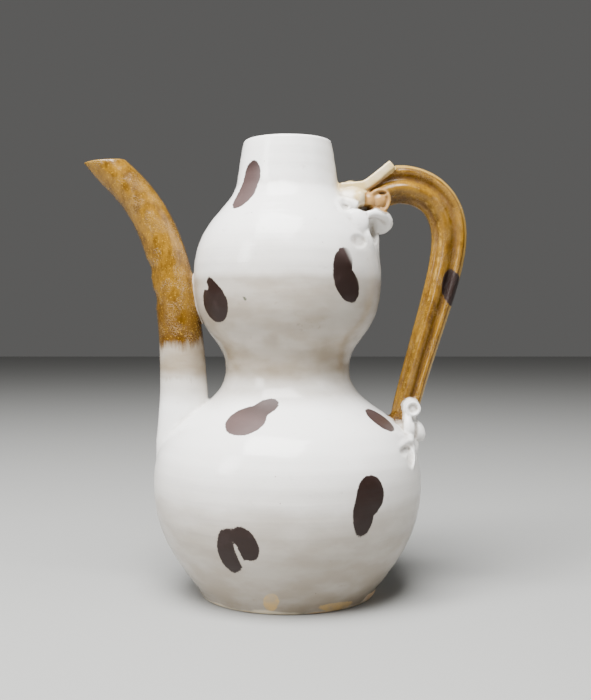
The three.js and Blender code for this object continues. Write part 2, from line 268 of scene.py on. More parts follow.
def turned_clay(profile, ring_depth, sides):
    """A closed turned form from an outline that starts and ends on the axis"""
    points = [(radius - TURNING_CIRCLE, -height, 0) for radius, height in profile]
    sizes = {"Ring depth": ring_depth, "Ring pitch": RING_PITCH, "Sides": sides}
    return shaped(thrown, line_mesh("outline", points), sizes)


body_profile = np.concatenate([
    even(np.array([(0, 0), (FOOT[0] - FOOT_INSET, 0)]), DISC_STEP),
    [(FOOT[0] - inset, rise) for inset, rise in FOOT_ROUNDING],
    even(outline, OUTLINE_STEP),
    lip_arc(1),
    even(np.array([(MOUTH[0] - MOUTH_WALL / 2, RIM_HEIGHT), (0, RIM_HEIGHT)]), DISC_STEP)[1:],
])
body = turned_clay(body_profile, RING_DEPTH, ROUND_SIDES)


# Spout: a tapering tube of the same clay, rolled on a rod and luted upright on the shoulder of the
# lower bulb. It leans against the upper bulb, curves away and is cut almost level at its tip.
SPOUT_X = -46.0
SPOUT_FOOT = 80.0
SPOUT_START = 57.6
SPOUT_TIP = np.array([-81.6, 190.8])
SPOUT_TIP_TURN = math.radians(40)
SPOUT_TIP_SLOPE = math.radians(5)
SPOUT_OVERRUN = 15.0
# How far the spout's curve keeps upright above its foot and straight below its tip
SPOUT_FOOT_PULL = 0.8
SPOUT_TIP_PULL = 0.16
SPOUT_RADII = (10.7, 7.6)
SPOUT_TAPER_END = 1.12
SPOUT_FLARE = 1.6
SPOUT_FLARE_LENGTH = 26.0
SPOUT_WALL = 2.8
BORE_START = 49.6
BORE_OVERRUN = 22.0
SPOUT_STEP = 1.2
TIP_RUN = np.array([-math.sin(SPOUT_TIP_TURN), math.cos(SPOUT_TIP_TURN)])


def swept_tree():
    """Follows a path with a section; the path's girth attribute sizes the section"""
    tree = tree_with("swept clay", {"Section": "NodeSocketObject", "Fullness": "NodeSocketFloat"})
    given = tree.nodes.new("NodeGroupInput")
    path = add(tree, "GeometryNodeMeshToCurve", Mesh=given.outputs["Geometry"])
    girth = add(tree, "GeometryNodeInputNamedAttribute", {"data_type": "FLOAT"}, Name="girth")
    section = add(tree, "GeometryNodeObjectInfo", Object=given.outputs["Section"])
    profile = add(tree, "GeometryNodeMeshToCurve", Mesh=section.outputs["Geometry"])
    size = worked(tree, "MULTIPLY", girth.outputs["Attribute"], given.outputs["Fullness"])
    swept = add(tree, "GeometryNodeCurveToMesh", Curve=path, _1=profile, _2=size, _3=True)
    finished(tree, swept)
    return tree


def section_shape(name, points):
    """A closed section of unit size; its first axis is across the path's plane, its second outward"""
    return put(name, line_mesh(name, [(x, y, 0) for x, y in points], closed=True))


swept = swept_tree()
round_turns = np.linspace(0, 2 * math.pi, 41)[:-1]
round_section = section_shape("round", np.stack([np.cos(round_turns), np.sin(round_turns)], 1))


def swept_clay(path, girth, section=round_section):
    """A sweep along points (x, y, z) in millimetres"""
    mesh = line_mesh("path", path, girth=girth)
    return shaped(swept, mesh, {"Section": section, "Fullness": 1.0})


def upright(path):
    """A path in the handle's plane, as x, y, z"""
    return np.stack([path[:, 0], np.zeros(len(path)), path[:, 1]], 1)


def spout_path(start, overrun):
    rise = SPOUT_TIP[1] - SPOUT_FOOT
    pull = SPOUT_TIP_PULL * rise
    curve = bezier((SPOUT_X, SPOUT_FOOT), (SPOUT_X, SPOUT_FOOT + SPOUT_FOOT_PULL * rise),
                   SPOUT_TIP - pull * TIP_RUN, SPOUT_TIP)
    return even(np.concatenate([[(SPOUT_X, start)], curve, [SPOUT_TIP + overrun * TIP_RUN]]), SPOUT_STEP)


def spout_girth(path):
    """Radius along the spout, wider where it stands on the shoulder"""
    walked = np.r_[0, np.cumsum(np.linalg.norm(np.diff(path, axis=0), axis=1))]
    from_foot = walked - (SPOUT_FOOT - path[0, 1])
    grown = np.clip(from_foot / (SPOUT_TIP[1] - SPOUT_FOOT), 0, SPOUT_TAPER_END)
    flare = np.clip(1 - (from_foot + SPOUT_FLARE_LENGTH / 2) / SPOUT_FLARE_LENGTH, 0, 1)
    return SPOUT_RADII[0] + (SPOUT_RADII[1] - SPOUT_RADII[0]) * grown + SPOUT_FLARE * flare ** 2


spout_line = spout_path(SPOUT_START, SPOUT_OVERRUN)
spout = swept_clay(upright(spout_line), spout_girth(spout_line))
bore_line = spout_path(BORE_START, BORE_OVERRUN)
bore = swept_clay(upright(bore_line), spout_girth(bore_line) - SPOUT_WALL)


# Handle: a thick strap pulled and combed into rolls, with a thin rim roll along its back. It
# springs from the upper bulb, arches over and comes down on the lower shoulder.
HANDLE_THICKNESS = (17.0, 11.5)
HANDLE_TAPER_START = 0.1
HANDLE_WIDTH_SHARE = 0.95
HANDLE_ROOT = np.array([24.5, 169.4])
ARCH = np.array([50.0, 180.6])
HANDLE_OUT = np.array([71.8, 157.0])
HANDLE_FOOT = np.array([50.6, 74.0])
# How far the handle's curves keep their direction: in millimetres, then in shares of its fall
ROOT_PULL = (9, 3)
ARCH_PULLS = ((10, 0), (9, 0))
OUT_PULL = (0, 18)
FALL_PULL = np.array([0, 0.2])
LANDING_PULL = np.array([0.11, 0.45])
LANDING_SINK = (1, 4.5)
# The rolls across the strap: place, half depth and half width in shares of its thickness
ROLLS = [(0.435, 0.065, 0.17), (0.13, 0.25, 0.5), (-0.31, 0.19, 0.4)]
HANDLE_WEB = 0.3
WEB_EDGE = 0.12
SECTION_POINTS = 44


def handle_line():
    fall = HANDLE_OUT[1] - HANDLE_FOOT[1]
    return even(np.concatenate([
        bezier(HANDLE_ROOT, HANDLE_ROOT + ROOT_PULL, ARCH - ARCH_PULLS[0], ARCH)[:-1],
        bezier(ARCH, ARCH + ARCH_PULLS[1], HANDLE_OUT + OUT_PULL, HANDLE_OUT)[:-1],
        bezier(HANDLE_OUT, HANDLE_OUT - fall * FALL_PULL, HANDLE_FOOT + fall * LANDING_PULL, HANDLE_FOOT),
        [HANDLE_FOOT - LANDING_SINK],
    ]), 1.0)


def eased(share, low, high):
    t = np.clip((share - low) / (high - low), 0, 1)
    return t * t * (3 - 2 * t)


def handle_section():
    """Rolls side by side, joined by a web, in shares of the thickness"""
    place = -0.5 * np.cos(np.linspace(0, math.pi, SECTION_POINTS))
    half = HANDLE_WEB * np.sqrt(np.clip(1 - (2 * place) ** 2, WEB_EDGE, 1))
    for middle, depth, width in ROLLS:
        share = np.clip(1 - ((place - middle) / depth) ** 2, 0, 1)
        half = np.maximum(half, width * np.sqrt(share))
    half = half * HANDLE_WIDTH_SHARE
    return np.concatenate([np.stack([half, place], 1), np.stack([-half, place], 1)[::-1]])


handle_path = handle_line()
handle_share = np.linspace(0, 1, len(handle_path))
handle_taper = eased(handle_share, HANDLE_TAPER_START, 1)
handle_girth = HANDLE_THICKNESS[0] + (HANDLE_THICKNESS[1] - HANDLE_THICKNESS[0]) * handle_taper
rolls_section = section_shape("rolls", handle_section())
handle = swept_clay(upright(handle_path), handle_girth, rolls_section)


# Upper leaf: where the handle springs from the bulb it is sprigged with clay leaves, the same on
# both sides: a scroll on a stem, a small curl, hanging lobes and a fin, under a cut band.
UPPER_LUMP = ((28.4, 0, 172.4), (22, 24, 17))
UPPER = [UPPER_LUMP]
SCROLL = (40.3, 172.9)
SCROLL_FACE = -9.4
SCROLL_RADIUS = 4.2
SCROLL_UNROLL = 0.9
SCROLL_TURN = (160, -84)
SCROLL_POINTS = 40
LINE_POINTS = 24
LEAST_COIL = 0.15
BAND_HALF = (8.3, 2.15)
BAND_BEVEL = (0.94, 0.7)
BAND_LINE = [(23, 178.4), (31, 179.0), (35.4, 180.3), (46.0, 188.6)]
# Coils laid on the clay: x, z, the coil's radius and how proud it stands, in millimetres
CREAM_TONGUE = [(25.5, 179.6, 1.5, -0.5), (27.8, 179.9, 1.9, -0.6), (30.5, 178.9, 1.6, -0.4)]
UPPER_STEM = [(21.4, 170.6, 0.9, 0), (23.4, 172.4, 1.3, 0.3), (26.6, 171.8, 1.7, 0.9),
              (29.9, 170.0, 2.0, 1.6)]
UPPER_CURL = [(21.4, 170.6, 0.9, 0), (22.4, 167.2, 1.1, 0.2), (25.4, 164.9, 1.4, 0.4),
              (30.0, 165.6, 1.7, 0.8), (34.3, 167.3, 1.7, 1.8), (37.6, 167.6, 1.9, 4.2)]
UPPER_TAIL = [(34.0, 166.4, 1.9, 2.4), (33.2, 162.4, 1.7, 3.0), (33.4, 158.0, 1.6, 2.4),
              (35.4, 153.6, 1.3, 2.2), (38.0, 148.0, 0.8, 1.3), (39.6, 143.0, 0.4, 0.3)]
# Coils that hang free: x, y, z
UPPER_LIP = [(34.5, -10.8, 166.2), (38.2, -9.8, 167.0), (42.2, -8.0, 166.2), (45.0, -5.6, 163.4)]
FIN_EDGE = [(37.6, -4.2, 163), (38.6, -3.4, 156), (39.3, -2.6, 150), (39.6, -1.6, 143)]


def lump(centre, size, turn=0.0):
    """A rounded pellet of clay of the given width, depth and height, turned in the handle's plane"""
    bm = bmesh.new()
    bmesh.ops.create_icosphere(bm, subdivisions=4, radius=0.5)
    mesh = bpy.data.meshes.new("pellet")
    bm.to_mesh(mesh)
    bm.free()
    points, faces = arrays(mesh)
    points = points * np.array(size)
    c, s = math.cos(math.radians(turn)), math.sin(math.radians(turn))
    turned = np.stack([c * points[:, 0] - s * points[:, 2], points[:, 1],
                       s * points[:, 0] + c * points[:, 2]], 1)
    return turned + np.array(centre), faces


def front(x, z, lumps):
    """How far out the clay stands at x, z, before any leaf is laid on it"""
    radius = float(body_radius(z))
    reach = math.sqrt(max(radius * radius - x * x, 0.0))
    for (cx, _, cz), (width, depth, height) in lumps:
        share = 1 - ((x - cx) / (width / 2)) ** 2 - ((z - cz) / (height / 2)) ** 2
        reach = max(reach, depth / 2 * math.sqrt(max(share, 0.0)))
    return reach


def through(points):
    """A smooth line through a few points"""
    points = np.array(points, float)
    padded = np.concatenate([[2 * points[0] - points[1]], points, [2 * points[-1] - points[-2]]])
    rows = []
    for i in range(1, len(padded) - 2):
        a, b, c, d = padded[i - 1:i + 3]
        t = np.linspace(0, 1, LINE_POINTS)[:-1, None]
        rows.append(0.5 * (2 * b + (c - a) * t + (2 * a - 5 * b + 4 * c - d) * t ** 2
                           + (3 * b - a - 3 * c + d) * t ** 3))
    return np.concatenate(rows + [points[-1:]])


def stroke(points, lumps, sink=0.3):
    """A coil of clay laid on the front: each point is x, z, the coil's radius and how proud it stands"""
    line = through(points)
    places = [(x, -front(x, z, lumps) - proud + sink * radius, z) for x, z, radius, proud in line]
    return swept_clay(np.array(places), np.maximum(line[:, 2], LEAST_COIL))


def both_sides(parts):
    """The same clay on the front and, mirrored, on the back"""
    mirrored = [(points * np.array([1, -1, 1]), [face[::-1] for face in faces]) for points, faces in parts]
    return list(parts) + mirrored


def pad(x, z, size, lumps, sink):
    """A pellet pressed on the front at x, z, with its middle sunk below the surface"""
    return lump((x, sink - front(x, z, lumps), z), size)


def coiled(middle, face, reach, turns, thickness):
    """A coil of clay bent round a middle in the handle's plane"""
    around = reach * np.stack([np.cos(turns), np.sin(turns)])
    path = np.insert(np.array(middle) + around.T, 1, face, axis=1)
    return swept_clay(path, thickness)


band_line = through(BAND_LINE)
bevel_x, bevel_y = BAND_BEVEL
band_corners = [(1, -bevel_y), (bevel_x, -1), (-bevel_x, -1), (-1, -bevel_y),
                (-1, bevel_y), (-bevel_x, 1), (bevel_x, 1), (1, bevel_y)]
band_section = section_shape("band", [(x * BAND_HALF[0], y * BAND_HALF[1]) for x, y in band_corners])
under_band = np.interp(handle[0][:, 0], band_line[:, 0], band_line[:, 1], right=math.inf)
handle[0][:, 2] = np.minimum(handle[0][:, 2], under_band)
scroll_turns = np.radians(np.linspace(*SCROLL_TURN, SCROLL_POINTS))
scroll_reach = SCROLL_RADIUS + SCROLL_UNROLL * eased(np.linspace(0, 1, SCROLL_POINTS), 0.7, 1)

# Cream: the band on top of the root, with a tongue and a stud below it
band = swept_clay(upright(band_line), np.ones(len(band_line)), band_section)
cream_tongue = stroke(CREAM_TONGUE, UPPER)
cream_stud = pad(31.6, 174.0, (4.4, 3.8, 5.6), UPPER, 0.8)
cream_parts = [band] + both_sides([cream_tongue, cream_stud])

# Honey: the scroll, made of a back, a neck to the root, a rolled rim, a heart and a drop
scroll_back = lump((SCROLL[0], SCROLL_FACE + 2.2, SCROLL[1]), (9.2, 4.4, 9.4))
scroll_neck = lump((36.2, -7.9, 172.6), (5.6, 5.4, 7.4))
scroll_rim = coiled(SCROLL, SCROLL_FACE, scroll_reach, scroll_turns, np.linspace(0.85, 0.6, SCROLL_POINTS))
scroll_heart = lump((SCROLL[0] - 0.2, SCROLL_FACE + 1.0, SCROLL[1] - 0.6), (6.4, 4.2, 6.4))
scroll_drop = lump((SCROLL[0] + 0.9, SCROLL_FACE + 1.2, SCROLL[1] - 4.4), (2.6, 3.6, 3.4))
honey_parts = both_sides([scroll_back, scroll_neck, scroll_rim, scroll_heart, scroll_drop])

# White: the stem, the curl, its free lip, the hanging tail, the cheek and the fin
lip_girth = np.concatenate([np.linspace(1.6, 2.3, 40), np.linspace(2.3, 1.7, 30)])
fin_girth = np.linspace(2.2, 1.3, 70)
white_parts = both_sides([
    stroke(UPPER_STEM, UPPER),
    stroke(UPPER_CURL, UPPER),
    swept_clay(through(UPPER_LIP), lip_girth),
    stroke(UPPER_TAIL, UPPER),
    pad(28.2, 162.0, (13, 5.0, 12), UPPER, 1.2),
    lump((40.8, -4.2, 163.0), (11.4, 7.4, 8.6)),
    swept_clay(through(FIN_EDGE), fin_girth),
])
upper_leaf = [lump(*UPPER_LUMP)] + cream_parts + honey_parts + white_parts

# Hollows pressed between the folds: middle, size and depth
upper_hollows = [
    ((34.0, -11.0, 169.3), (4.0, 6, 1.8), 4.6),
    ((24.8, -17.5, 169.2), (2.6, 7, 1.7), 1.6),
    ((28.6, -15.5, 167.4), (3.4, 7, 1.2), 1.6),
    ((39.0, -8.0, 160.6), (7.0, 8, 4.8), 2.4),
    ((37.4, -10.0, 158.5), (3.0, 9, 8.0), 3.0),
    ((29.9, -25.0, 153.6), (4.4, 12, 3.6), 1.5),
    ((SCROLL[0] + 1.3, SCROLL_FACE, SCROLL[1] + 2.9), (2.3, 3, 0.9), 1.3),
]


# Lower leaf: the handle's foot is luted to the shoulder under a rolled knob, with a round lobe, a
# fin below it and a pointed leaf pressed on the belly, again on both sides.
LOWER_LUMP = ((51.1, 0, 74.0), (14, 18.5, 14))
LOWER = [LOWER_LUMP]
KNOB = (54.8, 81.8)
KNOB_FACE = -8.8
KNOB_RADIUS = 2.75
KNOB_COIL = 0.7
KNOB_POINTS = 60
OUTER_STEM = [(53.4, 85.2, 0.7, 1.2), (52.0, 82.0, 1.0, 2.4), (51.8, 76.8, 0.9, 1.4)]
INNER_STEM = [(51.8, 84.4, 0.6, 0.6), (50.4, 80.8, 0.8, 1.3), (50.3, 76.2, 0.8, 0.7)]
LOWER_LOBE = [(52.4, 77.2, 2.0, 1.0), (52.6, 73.5, 2.4, 1.9), (52.7, 70.0, 2.5, 2.0),
              (52.4, 67.6, 1.8, 1.2)]
LOBE_SINK = 0.5
LOWER_FIN = [(54.4, 75.5, 0.8, 2.4), (54.5, 71.5, 0.9, 3.0), (54.6, 66.0, 0.9, 2.8),
             (55.6, 60.5, 0.5, 1.2)]
LEAF_FOLD = [(47.0, 67.6, 0.6, 0.2), (50.0, 68.4, 1.1, 0.9), (53.4, 68.2, 1.2, 1.8)]
LEAF_POINT = [(54.2, 66.5, 0.9, 1.6), (53.4, 61.5, 1.0, 1.2), (52.6, 57.0, 0.4, 0)]


lower_leaf = [lump(*LOWER_LUMP)] + both_sides([
    lump((KNOB[0] - 0.6, KNOB_FACE + 3.4, KNOB[1] - 0.2), (7.8, 7.4, 8.8)),
    coiled(KNOB, KNOB_FACE, KNOB_RADIUS, np.linspace(0, 2 * math.pi, KNOB_POINTS),
           np.full(KNOB_POINTS, KNOB_COIL)),
    stroke(OUTER_STEM, LOWER),
    stroke(INNER_STEM, LOWER),
    stroke(LOWER_LOBE, LOWER, LOBE_SINK),
    stroke(LOWER_FIN, LOWER),
    stroke(LEAF_FOLD, LOWER),
    stroke(LEAF_POINT, LOWER),
    lump((57.3, -4.4, 71.9), (6.2, 6.8, 10.2), 25),
    lump((55.6, -4.0, 65.2), (4.8, 5.0, 10.5)),
])
lower_hollows = [
    ((KNOB[0], KNOB_FACE - 0.5, KNOB[1]), (2.5, 3, 2.5), 0.8),
    ((56.2, -9.0, 71.8), (1.3, 6, 4.6), 1.6),
    ((50.4, -27.0, 65.7), (4.6, 12, 2.5), 3.2),
    ((52.0, -25.0, 62.4), (2.4, 12, 4.8), 2.8),
    ((48.4, -8.5, 76.4), (2.6, 7, 1.8), 1.4),
]
# Dents on the spout's outer side: middle, size and depth
spout_nicks = [
    ((-60.4, 0, 143.8), (3.6, 9, 4.4), 0.9),
    ((-57.6, 0, 130.4), (3.0, 8, 4.6), 0.9),
]


# Joining: every part is luted on while the clay is soft, so the joints are smoothed to fillets and
# the whole pot is one skin. Away from the joints each part keeps its own surface.
SKIN_STEP = 0.46
SKIN_TRIANGLES = 164000
FILLET = 2.0
FILLET_SEARCH = 1.5
FILLET_GAIN = 1.6
FILLET_WEIGHT = 0.6
FILLET_ROUNDS = 24
LEAF_WEIGHT = 0.5
LEAF_ROUNDS = 2
FAR = 99.0
# The cut across the spout's tip: half its width, half its depth and how high it reaches
CUT_HALF = 30
CUT_DEPTH = 20
CUT_TOP = 240


def joined_faces(parts):
    """The faces of several forms, numbered for their points in one row"""
    faces = []
    start = 0
    for points, part_faces in parts:
        faces += [tuple(index + start for index in face) for face in part_faces]
        start += len(points)
    return faces


def solid(name, parts):
    """One mesh object from several closed forms"""
    mesh = bpy.data.meshes.new(name)
    mesh.from_pydata(np.concatenate([points for points, _ in parts]).tolist(), [], joined_faces(parts))
    return put(name, mesh)


def settled(made, kind, **settings):
    """Applies one modifier and gives the object its new mesh"""
    modifier = made.modifiers.new(kind, kind)
    for key, value in settings.items():
        setattr(modifier, key, value)
    mesh = evaluated(made)
    made.modifiers.clear()
    made.data = mesh
    return made


def distances(points, parts, near):
    """How far each point lies from the parts, when that is less than near, and the nearest place"""
    form = np.concatenate([part_points for part_points, _ in parts])
    tree = BVHTree.FromPolygons(form.tolist(), joined_faces(parts))
    low = form.min(0) - near
    high = form.max(0) + near
    reach = np.full(len(points), FAR)
    nearest = points.copy()
    for index in np.nonzero(((points > low) & (points < high)).all(1))[0]:
        found = tree.find_nearest(points[index], near)
        if found[0] is not None:
            reach[index] = found[3]
            nearest[index] = found[0]
    return reach, nearest


def edge_pairs(mesh):
    pairs = np.zeros(len(mesh.edges) * 2, np.int64)
    mesh.edges.foreach_get("vertices", pairs)
    return pairs.reshape(-1, 2)


def smoothed(points, pairs, weight, rounds):
    """Moves each point towards the middle of its neighbours, as far as its weight says"""
    count = np.bincount(pairs.ravel(), minlength=len(points))[:, None]
    for _ in range(rounds):
        total = np.stack([np.bincount(pairs[:, 0], points[pairs[:, 1], axis], len(points))
                          + np.bincount(pairs[:, 1], points[pairs[:, 0], axis], len(points))
                          for axis in range(3)], 1)
        points = points + weight[:, None] * (total / np.maximum(count, 1) - points)
    return points


tip_rise = CUT_HALF * math.tan(SPOUT_TIP_SLOPE)
tip_line = SPOUT_TIP + np.array([[-CUT_HALF, -tip_rise], [CUT_HALF, tip_rise]])
cut_corners = [*tip_line, (SPOUT_TIP[0] + CUT_HALF, CUT_TOP), (SPOUT_TIP[0] - CUT_HALF, CUT_TOP)]
above_tip = put("above_tip", bpy.data.meshes.new("above_tip"))
bm = bmesh.new()
box_points = [bm.verts.new((x, y, z)) for y in (-CUT_DEPTH, CUT_DEPTH) for x, z in cut_corners]
for face in ((0, 1, 2, 3), (7, 6, 5, 4), (0, 4, 5, 1), (1, 5, 6, 2), (2, 6, 7, 3), (3, 7, 4, 0)):
    bm.faces.new([box_points[index] for index in face])
bmesh.ops.recalc_face_normals(bm, faces=bm.faces)
bm.to_mesh(above_tip.data)
bm.free()
cut_spout = settled(solid("cut_spout", [spout]), "BOOLEAN", object=above_tip, operation="DIFFERENCE",
                    solver="EXACT")
spout = arrays(cut_spout.data)

skin = settled(solid("ewer_skin", [body, spout, handle] + upper_leaf + lower_leaf), "REMESH", mode="VOXEL",
               voxel_size=SKIN_STEP)
skin_points, skin_faces = arrays(skin.data)
groups = [[body], [spout], [handle], upper_leaf + lower_leaf]
reaches, nearests = zip(*[distances(skin_points, group, FILLET * FILLET_SEARCH) for group in groups])
reaches = np.array(reaches)
nearests = np.array(nearests)
owner = reaches.argmin(0)
second = np.sort(reaches, 0)[1]
luted = np.clip(1 - second / FILLET, 0, 1)
own = nearests[owner, np.arange(len(skin_points))]
pairs = edge_pairs(skin.data)
placed = smoothed(own, pairs, np.clip(luted * FILLET_GAIN, 0, FILLET_WEIGHT), FILLET_ROUNDS)
of_leaf = owner == len(groups) - 1
placed = smoothed(placed, pairs, np.where(of_leaf, LEAF_WEIGHT, 0.0), LEAF_ROUNDS)
for middle, size, depth in upper_hollows + lower_hollows:
    for side in (1, -1):
        gap = (placed - np.array(middle) * (1, side, 1)) / size
        share = np.clip(1 - (gap ** 2).sum(1), 0, 1)
        placed[:, 1] += side * depth * share * share * (3 - 2 * share)
for middle, size, depth in spout_nicks:
    gap = (placed - np.array(middle)) / size
    placed[:, 0] += depth * np.clip(1 - (gap ** 2).sum(1), 0, 1)
low = np.array(cad_box[0]) * 1000
high = np.array(cad_box[1]) * 1000
skin.data.vertices.foreach_set("co", np.clip(placed, low, high).ravel())
skin = settled(skin, "DECIMATE", ratio=SKIN_TRIANGLES / (2 * len(skin_faces)))


# Hollow: the pot is thrown hollow, with a wall that thins at the mouth, a rounded lip and a flat
# floor, and the spout's bore runs down its tube and through the shoulder.
BODY_WALL = 4.5
INNER_FLOOR = 7.0
FLOOR_CORNER = 5
WALL_START = 5.5
FLOOR_STEP = 5.0
WALL_STEP = 3.0
LIP_GAP = 0.02
MOUTH_CLEARANCE = 3
inner = outline[(outline[:, 1] > INNER_FLOOR)]
walls = np.interp(inner[:, 1], (0, NECK[1], MOUTH[1]), (BODY_WALL, BODY_WALL, MOUTH_WALL))
inner = np.stack([inner[:, 0] - walls, inner[:, 1]], 1)
lip_middle = MOUTH[0] - MOUTH_WALL / 2
cavity_profile = np.concatenate([
    even(np.array([(0, INNER_FLOOR), (inner[0, 0] - FLOOR_CORNER, INNER_FLOOR),
                   (inner[0, 0], INNER_FLOOR + FLOOR_CORNER)]), FLOOR_STEP),
    even(inner[inner[:, 1] > INNER_FLOOR + WALL_START], WALL_STEP),
    lip_arc(-1)[:-1],
    [(lip_middle, RIM_HEIGHT + LIP_GAP), (lip_middle, RIM_HEIGHT + MOUTH_CLEARANCE),
     (0, RIM_HEIGHT + MOUTH_CLEARANCE)],
])
cavity = turned_clay(cavity_profile, 0.0, ROUND_SIDES // 2)
bore_solid = solid("bore", [bore])
hollow = settled(solid("hollow", [cavity]), "BOOLEAN", object=bore_solid, operation="UNION",
                 solver="MANIFOLD")
skin = settled(skin, "BOOLEAN", object=hollow, operation="DIFFERENCE", solver="MANIFOLD")
for tool in (round_section, rolls_section, band_section, above_tip, cut_spout, bore_solid, hollow):
    bpy.data.objects.remove(tool)


# Skin data: how near each point is to the parts that take another glaze, kept as attributes. Honey
# is above zero where it covers, and fades over these lengths, in millimetres, where it ends.
HONEY_MOST = 2.0
HONEY_SPOUT_END = 109.5
HONEY_SPOUT_FADE = 9
HONEY_HANDLE_END = 78.0
HONEY_HANDLE_FADE = 7
HONEY_ROOT_FADE = 9
HONEY_ROOT_BARE = 0.4
# The run of honey beside the knob: its side towards the handle, its top, its end and its fade
RUN_SIDE = 50.4
RUN_TOP = 84
RUN_END = 75.2
RUN_FADE = 2.5
RUN_NEAR = 0.6
CREAM_FULL = 1.2
CREAM_FADE = 2.5
CREAM_ROOT = (29, 0, 178)
CREAM_ROOT_SIZE = (10, 16, 9)
CREAM_ROOT_REACH = 1.3
CREAM_ROOT_SHARE = 0.8
# How near a part's own surface a point has to be, or how clear of another part's
SURFACE_SEARCH = 4.0
OUTER_NEAR = 1.2
HANDLE_NEAR = 0.8
ORNAMENT_NEAR = 0.9
JOINT_CLEAR = 0.5
HANDLE_BODY_CLEAR = 0.8
# How hollow or proud the clay has to be for full painted crevice shade or a full edge, and where each begins
BEND_ROUNDS = 8
CREVICE_DEPTH = 0.16
CREVICE_START = 0.12
EDGE_HEIGHT = 0.2
EDGE_START = 0.7
PATH_CHUNK = 4000
pot = skin
pot.name = "glazed_ewer"
pot.data.name = "glazed_ewer"
points, faces = arrays(pot.data)
pairs = edge_pairs(pot.data)


def near_path(points, path):
    """Nearest place on a path in the handle's plane: its index and how far outside it the point lies"""
    index = np.zeros(len(points), int)
    for start in range(0, len(points), PATH_CHUNK):
        part = points[start:start + PATH_CHUNK, [0, 2]]
        index[start:start + PATH_CHUNK] = ((part[:, None] - path[None]) ** 2).sum(2).argmin(1)
    along = np.gradient(path, axis=0)
    along /= np.linalg.norm(along, axis=1)[:, None]
    gap = points[:, [0, 2]] - path[index]
    return index, gap[:, 1] * along[index, 0] - gap[:, 0] * along[index, 1]


def keep(name, values, rounds=2):
    """Stores a value for each point of the pot, softened along its surface"""
    soft = smoothed(np.stack([values] * 3, 1), pairs, np.full(len(values), 0.5), rounds)[:, 0]
    pot.data.attributes.new(name, "FLOAT", "POINT").data.foreach_set("value", soft.astype(np.float32))


def above(height, fade, most=HONEY_MOST):
    """How far above a height each point lies, in shares of a fade"""
    return np.clip((points[:, 2] - height) / fade, -HONEY_MOST, most)


part_groups = ([body], [spout], [handle], upper_leaf, lower_leaf, honey_parts, cream_parts)
reaches, _ = zip(*[distances(points, group, SURFACE_SEARCH) for group in part_groups])
to_body, to_spout, to_handle, to_upper, to_lower, to_honey, to_cream = reaches
outer = np.minimum.reduce(reaches) < OUTER_NEAR
on_spout = outer & (to_spout < OUTER_NEAR) & (to_body > JOINT_CLEAR)
clear_of_leaves = np.minimum(to_upper, to_lower) > JOINT_CLEAR
on_handle = outer & (to_handle < HANDLE_NEAR) & clear_of_leaves & (to_body > HANDLE_BODY_CLEAR)
on_ornament = outer & (to_honey < ORNAMENT_NEAR)
step, outside = near_path(points, handle_path)
honey_level = np.full(len(points), -HONEY_MOST)
honey_level[on_spout] = above(HONEY_SPOUT_END, HONEY_SPOUT_FADE)[on_spout]
root_level = step / HONEY_ROOT_FADE - HONEY_ROOT_BARE
honey_level[on_handle] = np.minimum(above(HONEY_HANDLE_END, HONEY_HANDLE_FADE), root_level)[on_handle]
beside_knob = outer & (points[:, 0] < RUN_SIDE) & (points[:, 2] < RUN_TOP)
beside_knob &= np.minimum(to_lower, to_handle - 1) < RUN_NEAR
honey_level[beside_knob] = np.maximum(honey_level, above(RUN_END, RUN_FADE, 1))[beside_knob]
honey_level[on_ornament] = HONEY_MOST
keep("honey", honey_level, 3)
cream_level = np.clip(CREAM_FULL - to_cream / CREAM_FADE, 0, 1) * outer
root_gap = np.linalg.norm((points - np.array(CREAM_ROOT)) / np.array(CREAM_ROOT_SIZE), axis=1)
cream_root = np.clip(CREAM_ROOT_REACH - root_gap, 0, CREAM_ROOT_SHARE) * outer
keep("cream", np.maximum(cream_level, cream_root))
keep("scrolled", on_ornament.astype(float))
normals = np.zeros(len(points) * 3)
pot.data.vertex_normals.foreach_get("vector", normals)
sunk = smoothed(points, pairs, np.full(len(points), 0.5), BEND_ROUNDS) - points
bend = (sunk * normals.reshape(-1, 3)).sum(1)
bend = np.where(outer, bend, 0)
# The crevice mask marks the hollows where shade is painted
keep("crevice", np.clip(bend / CREVICE_DEPTH - CREVICE_START, 0, 1), 1)
keep("edge", np.clip(-bend / EDGE_HEIGHT - EDGE_START, 0, 1), 1)
keep("outer", outer.astype(float), 0)
keep("roll_place", np.where(on_handle, outside / handle_girth[step], 0.0), 0)
keep("on_handle", on_handle.astype(float), 1)
pot.data.vertices.foreach_set("co", (points / 1000).ravel())
pot.data.shade_smooth()
pot.data.materials.clear()
pot.data.materials.append(clay_look)
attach(pot, "root")
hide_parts("ewer")


# Glaze: a glossy, slightly warm white over a pale body, with shade painted on as a warmer grey under each
# bulb, honey glaze on the spout and handle and dabs of iron brown brushed on. The foot's edge is bare.
WHITE = (0.86, 0.845, 0.815, 1)
UNDER_BULB_SHADE = (0.225, 0.172, 0.108, 1)
CREAM = (0.54, 0.40, 0.17, 1)
CARAMEL = (0.33, 0.18, 0.06, 1)
CREVICE_SHADE = (0.24, 0.18, 0.115, 1)
HONEY_LIGHT = (0.215, 0.108, 0.010, 1)
HONEY_DARK = (0.062, 0.025, 0.002, 1)
HONEY_PALE = (0.42, 0.26, 0.06, 1)
HONEY_GOLD = (0.40, 0.22, 0.025, 1)
IRON = (0.012, 0.003, 0.001, 1)
IRON_THIN_AND_SHEEN = (0.075, 0.048, 0.045, 1)
SPECK = (0.16, 0.10, 0.06, 1)
GREEN_SPECK = (0.05, 0.06, 0.03, 1)
GREY_SMEAR = (0.16, 0.13, 0.10, 1)
HONEY_CREVICE_SHADE = (0.10, 0.045, 0.012, 1)
BARE_CLAY = (0.72, 0.62, 0.46, 1)
TOASTED_CLAY = (0.62, 0.40, 0.20, 1)
BUFF_PATCH = (0.60, 0.40, 0.16, 1)
